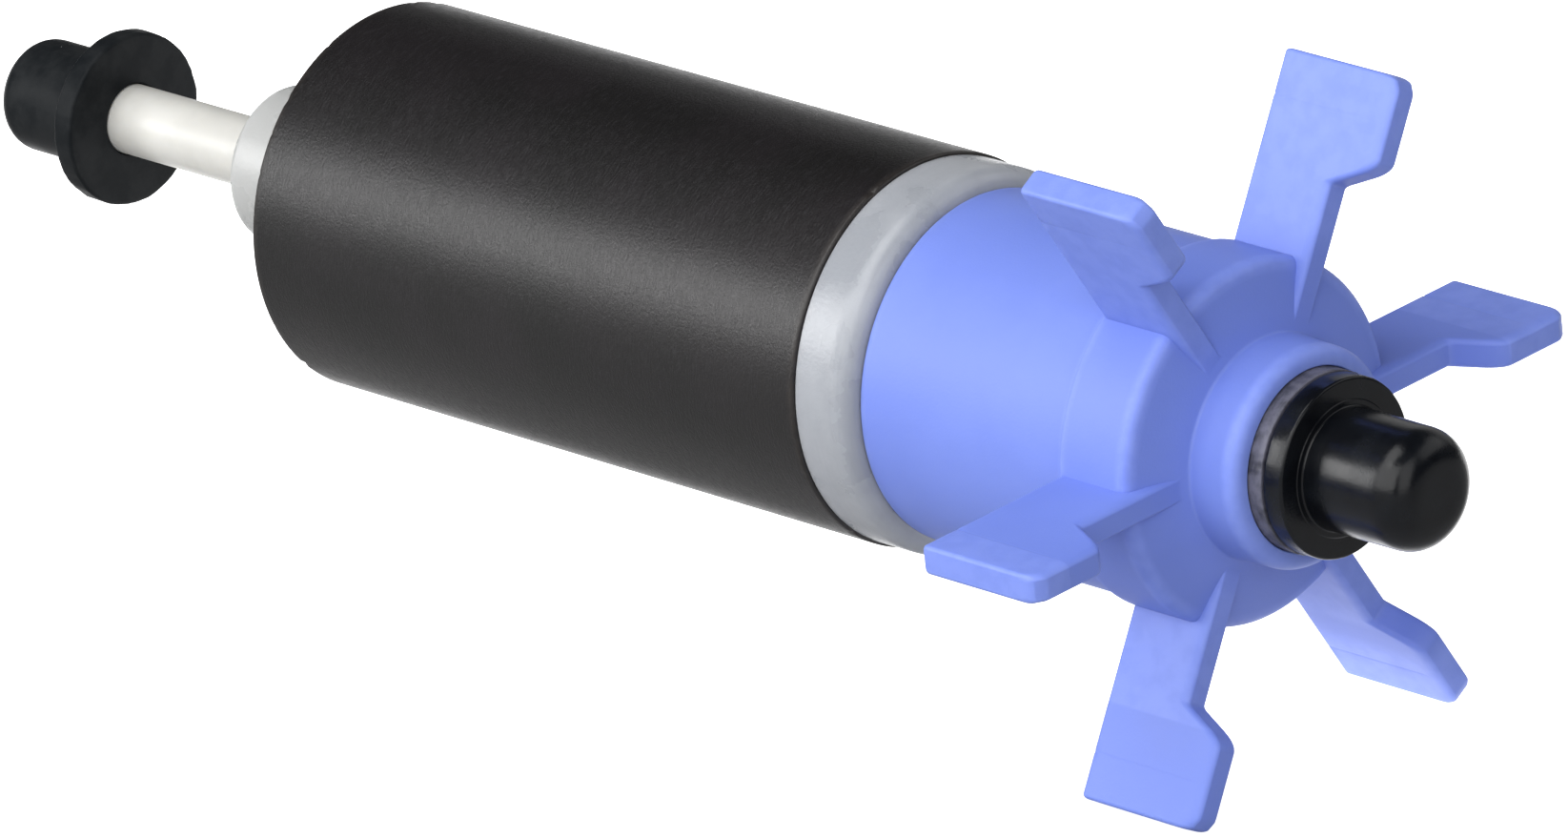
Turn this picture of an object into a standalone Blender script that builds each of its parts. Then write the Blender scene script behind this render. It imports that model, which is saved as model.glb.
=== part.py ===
"""Magnet rotor and impeller of a magnet-drive circulation pump, as it comes out of the pump.

Metres. The shaft's axis is X, with +X towards the impeller and +Z up. The origin is on the shaft's axis,
halfway between the tips of the two rubber end bearings.
"""

import math

import bmesh
import bpy
from mathutils import Matrix, Vector

# Fits
SEAT_GAP = 0.0003            # between faces that are pressed or bonded together
RUNNING_GAP = 0.00006        # radial, where one piece turns or slides on another

# Shaft
SHAFT_D = 0.0050
SHAFT_CHAMFER = 0.0003
BARE_SHAFT = 0.0156          # between the tail boss and the rear bearing

# Magnet, which every axial place is counted from
MAGNET_D = 0.0274
MAGNET_LENGTH = 0.0527
MAGNET_CHAMFER = 0.0003

# Bushes and thrust washers, whose radii build up from the shaft
BUSH_WALL = 0.0015
BUSH_LENGTH = 0.0090
REAR_WASHER_THICKNESS = 0.0009
REAR_WASHER_PROUD = 0.0003   # how far it stands out of its recess
REAR_WASHER_LAP = 0.0002     # how far the rear washer reaches beyond the bush
FRONT_WASHER_THICKNESS = 0.0018
FRONT_WASHER_PROUD = 0.0012

# Rotor core: tail boss, sleeve, collar and spigot
TAIL_WALL = 0.0012           # round the rear washer's recess
TAIL_LENGTH = 0.0110         # what stands out behind the magnet
TAIL_ROUND = 0.0006
CORE_RELIEF = 0.0006         # radial, round the shaft between the two bushes
COLLAR_STEP = 0.0002         # the collar's radius is this much under the magnet's
COLLAR_LENGTH = 0.0043
COLLAR_ROUND = 0.0014
SPIGOT_WALL = 0.0007

# Drive hub: a cup whose floor is next to the collar and whose mouth is closed by the impeller's disc
HUB_D = 0.0245
HUB_LENGTH = 0.0187
HUB_WALL = 0.0021
HUB_FLOOR = 0.0018
HUB_RIB_ANGLE = 40.0         # degrees

# Drive dog and its rubber
DOG_RING_WALL = 0.0018
DOG_ANGLE = 40.0             # degrees
DOG_SETBACK = 0.0035         # from the spigot's front end to the dog
DOG_FREE_GAP = 0.0004        # between the dog and the parts of the hub that pass it
DAMPER_SIDE_ANGLE = 12.0     # degrees of rubber on each flank of the lug
DAMPER_CAP = 0.0007          # rubber over the end of the lug

# Impeller wheel
DISC_OVERHANG = 0.0004       # the disc's radius over the hub's
DISC_THICKNESS = 0.0060      # at the rim
DISC_DOME = 0.0012           # rise of the disc's face from rim to boss
DISC_ROUND = 0.0008
PLUG_LENGTH = 0.0030         # stub that centres the wheel in the hub
PLUG_WALL = 0.0015
BOSS_D = 0.0155
BOSS_HEIGHT = 0.0039
BOSS_ROUND = 0.0009
BOSS_LIP = 0.00115           # round the front washer's recess
BLADE_COUNT = 6
IMPELLER_D = 0.0518
BLADE_THICKNESS = 0.0021
BLADE_WIDTH = 0.0069         # along the shaft, next to the boss
PADDLE_WIDTH = 0.0105        # along the shaft, beyond the step
STEP_INNER_R = 0.0179
STEP_OUTER_R = 0.0196
BLADE_ROUND = 0.0003
BLADE_PHASE = 21.8           # degrees from +Z towards +Y
BLADE_INSET = 0.0001         # the blades' back edges lie this far in front of the disc's back

# Rubber end bearings
FLANGE_D = 0.0125
FLANGE_THICKNESS = 0.0017
FLANGE_ROUND = 0.0004
SOCKET_DEPTH = 0.0066
NOSE_GROOVE = 0.0003
FRONT_NOSE = {"diameter": 0.0085, "length": 0.00855, "round": 0.0023}
REAR_NOSE = {"diameter": 0.0081, "length": 0.00855, "round": 0.0016}

# Facets
ROUND_STEPS = 48
FINE_STEPS = 36
ARC_STEPS = 3

# Radii that follow from the sizes above
SHAFT_R = SHAFT_D / 2
BORE_R = SHAFT_R + RUNNING_GAP
BUSH_R = SHAFT_R + BUSH_WALL
BUSH_SEAT_R = BUSH_R + SEAT_GAP
SPIGOT_R = BUSH_SEAT_R + SPIGOT_WALL
REAR_WASHER_R = BUSH_R + REAR_WASHER_LAP
REAR_RECESS_R = REAR_WASHER_R + SEAT_GAP
CORE_R = REAR_RECESS_R + TAIL_WALL
MAGNET_R = MAGNET_D / 2
HUB_R = HUB_D / 2
HUB_INNER_R = HUB_R - HUB_WALL
DOG_RING_R = SPIGOT_R + SEAT_GAP + DOG_RING_WALL
DAMPER_R = HUB_INNER_R - SEAT_GAP
DOG_LUG_R = DAMPER_R - DAMPER_CAP - SEAT_GAP
DISC_R = HUB_R + DISC_OVERHANG
PLUG_R = HUB_INNER_R - SEAT_GAP
BOSS_R = BOSS_D / 2
FRONT_RECESS_R = BOSS_R - BOSS_LIP
FRONT_WASHER_R = FRONT_RECESS_R - SEAT_GAP

# Axial places, counted from the magnet's front face before the shift to the origin
COLLAR_FRONT = SEAT_GAP + COLLAR_LENGTH
HUB_BACK = COLLAR_FRONT + SEAT_GAP
HUB_FRONT = HUB_BACK + HUB_LENGTH
DISC_BACK = HUB_FRONT + SEAT_GAP
DISC_FRONT = DISC_BACK + DISC_THICKNESS
BOSS_FRONT = DISC_FRONT + DISC_DOME + BOSS_HEIGHT
FRONT_WASHER_FRONT = BOSS_FRONT + FRONT_WASHER_PROUD
FRONT_CAP_BACK = FRONT_WASHER_FRONT + RUNNING_GAP
FRONT_CAP_TIP = FRONT_CAP_BACK + FLANGE_THICKNESS + FRONT_NOSE["length"]
MAGNET_BACK = -MAGNET_LENGTH
TAIL_BACK = MAGNET_BACK - TAIL_LENGTH
REAR_BUSH_SEAT = TAIL_BACK + REAR_WASHER_THICKNESS - REAR_WASHER_PROUD + SEAT_GAP
REAR_CAP_FRONT = TAIL_BACK - BARE_SHAFT
REAR_CAP_TIP = REAR_CAP_FRONT - FLANGE_THICKNESS - REAR_NOSE["length"]
PLUG_BACK = DISC_BACK - PLUG_LENGTH
SPIGOT_FRONT = PLUG_BACK - SEAT_GAP
DOG_BACK = HUB_BACK + HUB_FLOOR + DOG_FREE_GAP
DOG_FRONT = SPIGOT_FRONT - DOG_SETBACK
ORIGIN_SHIFT = -(FRONT_CAP_TIP + REAR_CAP_TIP) / 2


def clear_scene():
    for item in list(bpy.data.objects):
        bpy.data.objects.remove(item, do_unlink=True)


def material(name, colour, roughness, metallic=0.0):
    made = bpy.data.materials.new(name)
    made.use_nodes = True
    shader = made.node_tree.nodes["Principled BSDF"]
    shader.inputs["Base Color"].default_value = (*colour, 1.0)
    shader.inputs["Roughness"].default_value = roughness
    shader.inputs["Metallic"].default_value = metallic
    return made


def arc(x, r, radius, start, end, steps=ARC_STEPS):
    """Section points (x, r) on an arc about (x, r), with angles in degrees from +X towards +r."""
    points = []
    for step in range(steps + 1):
        angle = math.radians(start + (end - start) * step / steps)
        points.append((x + radius * math.cos(angle), r + radius * math.sin(angle)))
    return points


def turned_mesh(section, steps):
    """A bmesh of a closed section (x, r) turned about X. Points with r = 0 lie on the axis."""
    mesh = bmesh.new()
    rings = []
    for x, r in section:
        if r == 0:
            rings.append([mesh.verts.new((x, 0, 0))])
            continue
        angles = [2 * math.pi * step / steps for step in range(steps)]
        rings.append([mesh.verts.new((x, r * math.sin(a), r * math.cos(a))) for a in angles])
    for here, after in zip(rings, rings[1:] + rings[:1]):
        if len(here) == len(after) == 1:
            continue
        for step in range(steps):
            follow = (step + 1) % steps
            if len(here) == 1:
                mesh.faces.new((here[0], after[step], after[follow]))
            elif len(after) == 1:
                mesh.faces.new((here[step], after[0], here[follow]))
            else:
                mesh.faces.new((here[step], after[step], after[follow], here[follow]))
    bmesh.ops.recalc_face_normals(mesh, faces=mesh.faces)
    return mesh


def add_object(name, mesh, look=None, smooth_angle=35.0):
    data = bpy.data.meshes.new(name)
    mesh.to_mesh(data)
    mesh.free()
    data.shade_smooth()
    data.set_sharp_from_angle(angle=math.radians(smooth_angle))
    made = bpy.data.objects.new(name, data)
    bpy.context.scene.collection.objects.link(made)
    if look:
        data.materials.append(look)
    made.location.x = ORIGIN_SHIFT
    return made


def turned(name, section, look, steps=ROUND_STEPS):
    return add_object(name, turned_mesh(section, steps), look)


def sector_mesh(x_low, x_high, r_low, r_high, centre, spread, steps=4):
    """A bmesh of a block between two radii and two places along X, spread degrees wide about centre."""
    mesh = bmesh.new()
    rings = []
    for step in range(steps + 1):
        a = math.radians(centre - spread / 2 + spread * step / steps)
        corners = ((x_low, r_low), (x_high, r_low), (x_high, r_high), (x_low, r_high))
        rings.append([mesh.verts.new((x, r * math.sin(a), r * math.cos(a))) for x, r in corners])
    for here, after in zip(rings, rings[1:]):
        for corner in range(4):
            follow = (corner + 1) % 4
            mesh.faces.new((here[corner], here[follow], after[follow], after[corner]))
    mesh.faces.new(rings[0])
    mesh.faces.new(rings[-1])
    bmesh.ops.recalc_face_normals(mesh, faces=mesh.faces)
    return mesh


def helper(name, mesh):
    """An object that only shapes another one."""
    made = add_object(name, mesh)
    made.hide_render = True
    made.display_type = "WIRE"
    return made


def boolean(target, operand, operation):
    modifier = target.modifiers.new(operand.name, "BOOLEAN")
    modifier.object = operand
    modifier.operation = operation
    modifier.solver = "EXACT"


def make_shaft(look):
    back = REAR_CAP_FRONT - SOCKET_DEPTH + SEAT_GAP
    front = FRONT_CAP_BACK + SOCKET_DEPTH - SEAT_GAP
    section = [
        (back, 0),
        (back, SHAFT_R - SHAFT_CHAMFER),
        (back + SHAFT_CHAMFER, SHAFT_R),
        (front - SHAFT_CHAMFER, SHAFT_R),
        (front, SHAFT_R - SHAFT_CHAMFER),
        (front, 0),
    ]
    return turned("shaft", section, look)


def make_cap(name, face, outward, nose, look):
    """A rubber bearing whose flange starts at face and whose nose points along outward, +1 or -1."""
    flange_r = FLANGE_D / 2
    nose_r = nose["diameter"] / 2
    nose_root = FLANGE_THICKNESS
    tip = nose_root + nose["length"]
    outline = [(0, BORE_R)]
    outline += arc(FLANGE_ROUND, flange_r - FLANGE_ROUND, FLANGE_ROUND, 180, 90)
    outline += arc(nose_root - FLANGE_ROUND, flange_r - FLANGE_ROUND, FLANGE_ROUND, 90, 0)
    outline += [(nose_root, nose_r + 2 * NOSE_GROOVE), (nose_root - NOSE_GROOVE, nose_r + NOSE_GROOVE)]
    outline += [(nose_root, nose_r)]
    outline += arc(tip - nose["round"], nose_r - nose["round"], nose["round"], 90, 0, 2 * ARC_STEPS)
    outline += [(tip, 0), (SOCKET_DEPTH, 0), (SOCKET_DEPTH, BORE_R)]
    return turned(name, [(face + outward * x, r) for x, r in outline], look, FINE_STEPS)


def make_core(look):
    """Tail boss, sleeve, collar and spigot in one moulding, bored for the bushes and the rear washer."""
    collar_r = MAGNET_R - COLLAR_STEP
    relief_r = SHAFT_R + CORE_RELIEF
    rear_seat_front = REAR_BUSH_SEAT + BUSH_LENGTH + 2 * SEAT_GAP
    front_seat_back = SPIGOT_FRONT - BUSH_LENGTH - SEAT_GAP
    section = [(TAIL_BACK, REAR_RECESS_R)]
    section += arc(TAIL_BACK + TAIL_ROUND, CORE_R - TAIL_ROUND, TAIL_ROUND, 180, 90)
    section += [(SEAT_GAP, CORE_R), (SEAT_GAP, collar_r)]
    section += arc(COLLAR_FRONT - COLLAR_ROUND, collar_r - COLLAR_ROUND, COLLAR_ROUND, 90, 0)
    section += [(COLLAR_FRONT, SPIGOT_R), (SPIGOT_FRONT, SPIGOT_R)]
    section += [(SPIGOT_FRONT, BUSH_SEAT_R), (front_seat_back, BUSH_SEAT_R)]
    section += [(front_seat_back, relief_r), (rear_seat_front, relief_r)]
    section += [(rear_seat_front, BUSH_SEAT_R), (REAR_BUSH_SEAT, BUSH_SEAT_R)]
    section += [(REAR_BUSH_SEAT, REAR_RECESS_R)]
    return turned("rotor_core", section, look)


def make_magnet(look):
    inner = CORE_R + SEAT_GAP
    cut = MAGNET_CHAMFER
    section = [
        (MAGNET_BACK, inner),
        (MAGNET_BACK, MAGNET_R - cut),
        (MAGNET_BACK + cut, MAGNET_R),
        (-cut, MAGNET_R),
        (0, MAGNET_R - cut),
        (0, inner),
    ]
    return turned("rotor_magnet", section, look)


def make_ring(name, back, length, outer, inner, look):
    """A plain ring, for bushes and washers."""
    section = [(back, inner), (back, outer), (back + length, outer), (back + length, inner)]
    return turned(name, section, look, FINE_STEPS)


def make_hub(look):
    """Cup with a floor round the spigot and one rib inside, which the dog's rubber meets."""
    floor = HUB_BACK + HUB_FLOOR
    bore = SPIGOT_R + RUNNING_GAP
    section = [
        (HUB_BACK, bore),
        (HUB_BACK, HUB_R),
        (HUB_FRONT, HUB_R),
        (HUB_FRONT, HUB_INNER_R),
        (floor, HUB_INNER_R),
        (floor, bore),
    ]
    hub = turned("drive_hub", section, look)
    rib = sector_mesh(
        floor - HUB_FLOOR / 2,
        DOG_FRONT,
        DOG_RING_R + DOG_FREE_GAP,
        HUB_INNER_R + HUB_WALL / 2,
        180 + BLADE_PHASE,
        HUB_RIB_ANGLE,
    )
    boolean(hub, helper("hub_rib", rib), "UNION")
    return hub


def make_dog(look):
    """Ring on the spigot with one lug, opposite the hub's rib when the rotor is at rest."""
    inner = SPIGOT_R + SEAT_GAP
    section = [
        (DOG_BACK, inner),
        (DOG_BACK, DOG_RING_R),
        (DOG_FRONT, DOG_RING_R),
        (DOG_FRONT, inner),
    ]
    dog = turned("drive_dog", section, look)
    lug = sector_mesh(
        DOG_BACK + SEAT_GAP,
        DOG_FRONT - SEAT_GAP,
        DOG_RING_R - DOG_RING_WALL / 2,
        DOG_LUG_R,
        BLADE_PHASE,
        DOG_ANGLE,
    )
    boolean(dog, helper("dog_lug", lug), "UNION")
    return dog


def make_damper(look):
    """Rubber bumper round the lug: two flanks and the piece over the lug's end."""
    inner = DOG_RING_R + SEAT_GAP
    pocket = DOG_ANGLE + 2 * math.degrees(SEAT_GAP / inner)
    damper = add_object(
        "start_damper",
        sector_mesh(
            DOG_BACK + SEAT_GAP,
            DOG_FRONT - SEAT_GAP,
            inner,
            DAMPER_R,
            BLADE_PHASE,
            pocket + 2 * DAMPER_SIDE_ANGLE,
            8,
        ),
        look,
    )
    cutter = sector_mesh(
        DOG_BACK - SEAT_GAP,
        DOG_FRONT + SEAT_GAP,
        inner - SEAT_GAP,
        DOG_LUG_R + SEAT_GAP,
        BLADE_PHASE,
        pocket,
    )
    boolean(damper, helper("damper_pocket", cutter), "DIFFERENCE")
    return damper


def make_washers(look):
    """The front washer sits in the mouth of the boss and the rear one in the tail boss."""
    inner = BORE_R + RUNNING_GAP
    front_back = FRONT_WASHER_FRONT - FRONT_WASHER_THICKNESS
    make_ring("front_thrust_washer", front_back, FRONT_WASHER_THICKNESS, FRONT_WASHER_R, inner, look)
    rear_back = TAIL_BACK - REAR_WASHER_PROUD
    make_ring("rear_thrust_washer", rear_back, REAR_WASHER_THICKNESS, REAR_WASHER_R, inner, look)


def make_bushes(look):
    """One at each end of the core, the rear one behind its washer."""
    make_ring("front_bush", SPIGOT_FRONT - BUSH_LENGTH, BUSH_LENGTH, BUSH_R, BORE_R, look)
    make_ring("rear_bush", REAR_BUSH_SEAT + SEAT_GAP, BUSH_LENGTH, BUSH_R, BORE_R, look)


def blade_mesh():
    """Six paddles as separate bodies. The outline lies in the X-Z plane and is extruded along Y."""
    back = DISC_BACK + BLADE_INSET
    root_r = BOSS_R - BOSS_ROUND / 2
    outline = [
        (back, root_r),
        (back + BLADE_WIDTH, root_r),
        (back + BLADE_WIDTH, STEP_INNER_R),
        (back + PADDLE_WIDTH, STEP_OUTER_R),
        (back + PADDLE_WIDTH, IMPELLER_D / 2),
        (back, IMPELLER_D / 2),
    ]
    mesh = bmesh.new()
    for blade in range(BLADE_COUNT):
        angle = math.radians(BLADE_PHASE) + 2 * math.pi * blade / BLADE_COUNT
        turn = Matrix.Rotation(-angle, 4, "X")
        corners = [Vector((x, -BLADE_THICKNESS / 2, r)) for x, r in outline]
        face = mesh.faces.new([mesh.verts.new(turn @ corner) for corner in corners])
        pushed = bmesh.ops.extrude_face_region(mesh, geom=[face])
        moved = [item for item in pushed["geom"] if isinstance(item, bmesh.types.BMVert)]
        bmesh.ops.translate(mesh, verts=moved, vec=turn @ Vector((0, BLADE_THICKNESS, 0)))
    bmesh.ops.recalc_face_normals(mesh, faces=mesh.faces)
    bmesh.ops.bevel(mesh, geom=mesh.edges, offset=BLADE_ROUND, segments=1, affect="EDGES")
    return mesh


def make_wheel(look):
    """Disc, boss and plug turned in one piece, then joined with the six paddles."""
    recess_floor = FRONT_WASHER_FRONT - FRONT_WASHER_THICKNESS - SEAT_GAP
    through_r = BORE_R + SEAT_GAP
    section = [(PLUG_BACK, PLUG_R - PLUG_WALL), (PLUG_BACK, PLUG_R)]
    section += [(DISC_BACK, PLUG_R), (DISC_BACK, DISC_R)]
    section += arc(DISC_FRONT - DISC_ROUND, DISC_R - DISC_ROUND, DISC_ROUND, 90, 0)
    section += [(DISC_FRONT + DISC_DOME, BOSS_R)]
    section += arc(BOSS_FRONT - BOSS_ROUND, BOSS_R - BOSS_ROUND, BOSS_ROUND, 90, 0)
    section += [(BOSS_FRONT, FRONT_RECESS_R), (recess_floor, FRONT_RECESS_R), (recess_floor, through_r)]
    section += [(PLUG_BACK, through_r), (PLUG_BACK, SPIGOT_R)]
    section += [(DISC_BACK, SPIGOT_R), (DISC_BACK, PLUG_R - PLUG_WALL)]
    wheel = turned("impeller_wheel", section, look)
    boolean(wheel, helper("blades", blade_mesh()), "UNION")
    return wheel


def build():
    clear_scene()
    ceramic = material("ivory_ceramic", (0.86, 0.85, 0.80), 0.25)
    ferrite = material("black_ferrite", (0.055, 0.05, 0.05), 0.45)
    milky = material("milky_plastic", (0.72, 0.73, 0.74), 0.35)
    blue = material("blue_plastic", (0.25, 0.30, 0.80), 0.42)
    rubber = material("black_rubber", (0.02, 0.022, 0.025), 0.5)
    carbon = material("bush_carbon", (0.10, 0.10, 0.11), 0.5)
    washer = material("washer_grey", (0.30, 0.30, 0.33), 0.5)
    make_shaft(ceramic)
    make_cap("front_bearing_cap", FRONT_CAP_BACK, 1, FRONT_NOSE, rubber)
    make_cap("rear_bearing_cap", REAR_CAP_FRONT, -1, REAR_NOSE, rubber)
    make_washers(washer)
    make_core(milky)
    make_magnet(ferrite)
    make_bushes(carbon)
    make_dog(milky)
    make_damper(rubber)
    make_hub(blue)
    make_wheel(blue)


build()
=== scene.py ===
# %% [markdown]
# # A magnet rotor and paddle wheel for a wave maker pump
# The object is the loose moving part of a magnet-drive pump. A black ring magnet sits on a milky plastic
# core, a periwinkle wheel with six stepped paddles is pushed on its front end, and everything turns on one
# white ceramic shaft whose two ends sit in black rubber bearings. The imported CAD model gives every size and
# every moving body, so the lesson starts by loading it and by keeping the box that it fills.

import math

import bmesh
import bpy
from mathutils import Matrix, Vector, noise


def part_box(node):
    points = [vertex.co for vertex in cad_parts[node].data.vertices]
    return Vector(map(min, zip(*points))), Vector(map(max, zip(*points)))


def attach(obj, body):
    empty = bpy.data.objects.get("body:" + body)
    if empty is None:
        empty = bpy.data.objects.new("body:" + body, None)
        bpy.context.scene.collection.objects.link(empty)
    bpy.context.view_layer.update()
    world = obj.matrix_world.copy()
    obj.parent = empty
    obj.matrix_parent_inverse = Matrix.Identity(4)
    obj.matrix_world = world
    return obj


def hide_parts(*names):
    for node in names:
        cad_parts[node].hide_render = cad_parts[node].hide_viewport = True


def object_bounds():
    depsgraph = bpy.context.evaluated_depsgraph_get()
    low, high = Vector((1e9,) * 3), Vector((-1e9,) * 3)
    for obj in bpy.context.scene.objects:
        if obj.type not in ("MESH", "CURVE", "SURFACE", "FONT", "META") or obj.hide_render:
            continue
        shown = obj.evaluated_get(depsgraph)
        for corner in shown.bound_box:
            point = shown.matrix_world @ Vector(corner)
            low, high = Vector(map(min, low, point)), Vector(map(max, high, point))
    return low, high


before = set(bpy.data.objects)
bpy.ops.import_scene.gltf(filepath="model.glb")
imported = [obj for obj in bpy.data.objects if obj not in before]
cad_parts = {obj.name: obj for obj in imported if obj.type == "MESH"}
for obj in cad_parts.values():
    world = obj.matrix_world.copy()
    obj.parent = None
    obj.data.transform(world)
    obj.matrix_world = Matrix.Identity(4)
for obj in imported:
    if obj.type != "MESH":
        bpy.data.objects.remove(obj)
cad_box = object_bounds()
print("length of the object:", round((cad_box[1].x - cad_box[0].x) * 1000, 1), "mm")

# %% [markdown]
# ## Sizes
# Each piece takes its length and its radius from the box of the CAD node that it stands for. A round piece
# on the X axis has its radius as the top of its box. The few sizes that a box can't tell, such as where a
# paddle steps forward, are named here in metres. Reading boxes keeps the visual model true to the CAD model
# after any change there.

# %% Measure the round pieces
MM = 0.001


def span(node):
    """Back end, front end and radius of a round CAD node."""
    low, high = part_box(node)
    return low.x, high.x, high.z


SHAFT_BACK, SHAFT_FRONT, SHAFT_R = span("shaft")
FRONT_CAP_BACK, FRONT_CAP_TIP, FLANGE_R = span("front_bearing_cap")
REAR_CAP_TIP, REAR_CAP_FRONT, _ = span("rear_bearing_cap")
FRONT_WASHER_BACK, _, FRONT_WASHER_R = span("front_thrust_washer")
_, REAR_WASHER_FRONT, REAR_WASHER_R = span("rear_thrust_washer")
TAIL_BACK, SPIGOT_FRONT, COLLAR_R = span("rotor_core")
MAGNET_BACK, MAGNET_FRONT, MAGNET_R = span("rotor_magnet")
CUP_BACK, CUP_FRONT, CUP_R = span("drive_hub")
PLUG_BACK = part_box("impeller_wheel")[0].x
BUSH_R = span("front_bush")[2]
DOG_FRONT = span("drive_dog")[1]

SEAT_GAP = 0.3 * MM          # the CAD model's gap between pieces that touch
HAIRLINE = 0.04 * MM         # what is left of such a gap in a visible joint
RUNNING_GAP = 0.06 * MM      # between a bore and the shaft or spigot in it
print("magnet:", round(MAGNET_R * 2000, 1), "x", round((MAGNET_FRONT - MAGNET_BACK) * 1000, 1), "mm")

# %% [markdown]
# ## The camera
# The camera stands at the front and a little above, looking along the shaft at about 45 degrees with a long
# lens from more than a metre away, so lines along the shaft hardly converge. It could be placed by hand,
# but an angle round the object, a height angle and a distance say the same thing in numbers that can be
# checked.

# %% Place the camera
CAMERA_SIDE = 45.06          # degrees from +X towards -Y
CAMERA_HEIGHT = 17.17        # degrees above the horizon
CAMERA_AWAY = 1.1537         # metres from the magnet's front face, along the view
MAGNET_FACE_RIGHT = 0.010217  # where that face's centre lies in the view, in metres
MAGNET_FACE_DOWN = -0.004650
LENS = 392.2
SENSOR = 36.0


def place_camera():
    side, height = math.radians(CAMERA_SIDE), math.radians(CAMERA_HEIGHT)
    forward = Vector((
        -math.cos(height) * math.cos(side),
        math.cos(height) * math.sin(side),
        -math.sin(height),
    ))
    right = forward.cross(Vector((0, 0, 1))).normalized()
    up = right.cross(forward)
    face = Vector((MAGNET_FRONT, 0, 0))
    data = bpy.data.cameras.new("camera")
    data.lens, data.sensor_width = LENS, SENSOR
    data.clip_start, data.clip_end = 0.01, 20.0
    camera = bpy.data.objects.new("camera", data)
    bpy.context.scene.collection.objects.link(camera)
    turn = Matrix((right, up, -forward)).transposed()
    camera.matrix_world = Matrix.Translation(
        face - right * MAGNET_FACE_RIGHT + up * MAGNET_FACE_DOWN - forward * CAMERA_AWAY
    ) @ turn.to_4x4()
    bpy.context.scene.camera = camera
    return camera


print("camera at", [round(v, 3) for v in place_camera().location])

# %% [markdown]
# ## Small parts for building shaders
# Every finish is a node tree. Writing nodes one by one is long, so two small helpers do it: one adds a node
# and joins its inputs to a value or to another node's output, the other opens a node group with named
# sockets.


# %% Helpers for node trees
def add_node(tree, kind, values=None, **settings):
    """A node: settings are its attributes, values are numbers or sockets by input name or place."""
    node = tree.nodes.new(kind)
    for name, value in settings.items():
        setattr(node, name, value)
    for key, value in (values or {}).items():
        if isinstance(value, bpy.types.NodeSocket):
            tree.links.new(value, node.inputs[key])
        else:
            node.inputs[key].default_value = value
    return node


def math_node(tree, operation, *values):
    node = add_node(tree, "ShaderNodeMath", dict(enumerate(values)), operation=operation)
    return node.outputs[0]


def ramp(tree, value, low, high, to_low=0.0, to_high=1.0):
    """Value moved smoothly from one range to another."""
    node = add_node(
        tree,
        "ShaderNodeMapRange",
        {"Value": value, "From Min": low, "From Max": high, "To Min": to_low, "To Max": to_high},
        interpolation_type="SMOOTHSTEP",
    )
    return node.outputs["Result"]


def mix_colour(tree, share, first, second):
    """The first colour turning into the second as share goes from 0 to 1."""
    node = tree.nodes.new("ShaderNodeMix")
    node.data_type = "RGBA"
    for place, value in ((0, share), (6, first), (7, second)):
        if isinstance(value, bpy.types.NodeSocket):
            tree.links.new(value, node.inputs[place])
        else:
            node.inputs[place].default_value = value if place == 0 else (*value, 1.0)
    return node.outputs[2]


def open_group(name, inputs, outputs):
    """A shader node group. Inputs are (name, kind, default), outputs are (name, kind)."""
    tree = bpy.data.node_groups.new(name, "ShaderNodeTree")
    for label, kind, default in inputs:
        socket = tree.interface.new_socket(label, in_out="INPUT", socket_type=f"NodeSocket{kind}")
        if default is not None:
            socket.default_value = default
    for label, kind in outputs:
        tree.interface.new_socket(label, in_out="OUTPUT", socket_type=f"NodeSocket{kind}")
    return tree, tree.nodes.new("NodeGroupInput").outputs, tree.nodes.new("NodeGroupOutput").inputs


def use_group(tree, group, values):
    return add_node(tree, "ShaderNodeGroup", values, node_tree=group).outputs


# %% [markdown]
# ## Effects that several finishes share
# Moulded plastic and rubber both have a faint skin: a fine grain and slow clouds of gloss. Turned and
# ground pieces have marks that run round the axis. Handled pieces pick up a few flecks, and sharp rounded
# edges look paler because light gets through them. Each effect is a group, built once, so that every finish
# sets only its own strength. The groups give masks and heights and leave the shader to the material.


# %% The moulded skin
def build_skin():
    """A fine grain and a slow cloud, each with its own size in millimetres."""
    tree, given, out = open_group(
        "moulded_skin",
        [("Vector", "Vector", None), ("Grain Size", "Float", 0.15), ("Cloud Size", "Float", 6.0)],
        [("Grain", "Float"), ("Cloud", "Float")],
    )
    for label, source, detail in (("Grain", "Grain Size", 3.0), ("Cloud", "Cloud Size", 4.0)):
        scale = math_node(tree, "DIVIDE", 1000.0, given[source])
        cloud = add_node(
            tree,
            "ShaderNodeTexNoise",
            {"Vector": given["Vector"], "Scale": scale, "Detail": detail, "Roughness": 0.55},
        )
        tree.links.new(cloud.outputs["Fac"], out[label])
    return tree


skin = build_skin()
print("group", skin.name, "is ready")


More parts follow.
